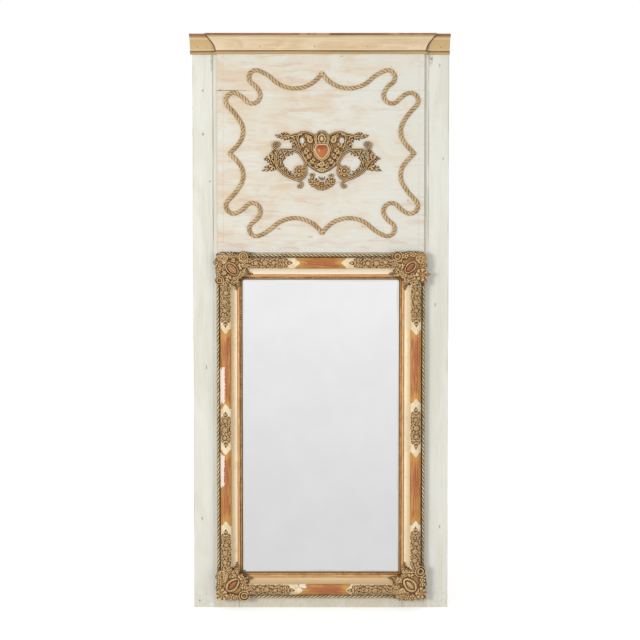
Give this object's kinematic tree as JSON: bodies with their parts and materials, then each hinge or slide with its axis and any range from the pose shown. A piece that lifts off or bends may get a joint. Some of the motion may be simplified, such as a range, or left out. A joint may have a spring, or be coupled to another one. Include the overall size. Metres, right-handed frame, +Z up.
{
  "type": "trumeau mirror",
  "caption": "Wall-hung trumeau mirror: painted board carcass with cove cornice, panel with rope scroll and cartouche, gilt moulded frame round a mirror plate, hanging rings behind.",
  "frame": {"origin": "on the wall plane, in the middle of the bottom edge, on the lower edge of the bottom batten's back face", "axes": "+Z up, +Y into the wall, front faces -Y, +X to the right seen from the front"},
  "size_m": [0.743, 0.087, 1.65],
  "materials": {
    "carcass_paint": "matte grey-white paint, worn",
    "panel_paint": "matte cream paint over peach, brushed",
    "cornice_paint": "matte peach-cream paint, toned",
    "worn_cap": "dark worn wood edge",
    "bare_wood": "aged bare pine",
    "frame_gilding": "worn gilding over red bole and cream gesso",
    "rope_paint": "cream paint with gold rubbing",
    "sight_gilding": "dark toned gilding",
    "composition": "antique gold over composition",
    "cabochon_glaze": "orange-red glaze",
    "mirror_plate": "silvered plate glass",
    "hanger_steel": "zinc-plated strap steel"
  },
  "bodies": {
    "carcass": {"side_board_left": "carcass_paint", "side_board_right": "carcass_paint", "inner_stile_left": "carcass_paint", "inner_stile_right": "carcass_paint", "bottom_rail": "carcass_paint", "middle_rail": "carcass_paint", "top_rail": "carcass_paint", "batten_bottom": "bare_wood", "batten_middle": "bare_wood", "batten_top": "bare_wood", "mirror_backboard": "bare_wood", "panel_main_board": "panel_paint", "panel_top_board": "panel_paint", "cornice_centre": "cornice_paint", "cornice_end_left": "cornice_paint", "cornice_end_right": "cornice_paint", "cornice_cap": "worn_cap", "frame_rail_bottom": "frame_gilding", "frame_rail_right": "frame_gilding", "frame_rail_top": "frame_gilding", "frame_rail_left": "frame_gilding", "frame_rope_bottom": "rope_paint", "frame_rope_right": "rope_paint", "frame_rope_top": "rope_paint", "frame_rope_left": "rope_paint", "sight_strip_bottom": "sight_gilding", "sight_strip_right": "sight_gilding", "sight_strip_top": "sight_gilding", "sight_strip_left": "sight_gilding", "mirror_glass": "mirror_plate", "glazing_fillet_left": "bare_wood", "glazing_fillet_right": "bare_wood", "glazing_fillet_bottom": "bare_wood", "glazing_fillet_top": "bare_wood", "rope_scroll_top_left": "rope_paint", "rope_scroll_top_right": "rope_paint", "rope_scroll_bottom_left": "rope_paint", "rope_scroll_bottom_right": "rope_paint", "cartouche_shield": "composition", "cartouche_cabochon": "cabochon_glaze", "cartouche_palmette": "composition", "cartouche_scroll_left": "composition", "cartouche_scroll_right": "composition", "cartouche_rosette_left": "composition", "cartouche_rosette_right": "composition", "corner_ornament_bottom_left": "composition", "corner_ornament_bottom_right": "composition", "corner_ornament_top_right": "composition", "corner_ornament_top_left": "composition", "frame_sprays_top": "composition", "frame_sprays_bottom": "composition", "frame_sprays_left": "composition", "frame_sprays_right": "composition", "hanger_strap_left": "hanger_steel", "hanger_strap_right": "hanger_steel"},
    "ring_left": {"hanger_ring_left": "hanger_steel"},
    "ring_right": {"hanger_ring_right": "hanger_steel"}
  },
  "joints": [
    {"name": "ring_left_swing", "type": "hinge", "parent": "carcass", "child": "ring_left", "pos_m": [-0.3385, -0.01615, 1.42], "axis": [1, 0, 0], "range_deg": [0, 180]},
    {"name": "ring_right_swing", "type": "hinge", "parent": "carcass", "child": "ring_right", "pos_m": [0.333, -0.01615, 1.42], "axis": [1, 0, 0], "range_deg": [0, 180]}
  ]
}
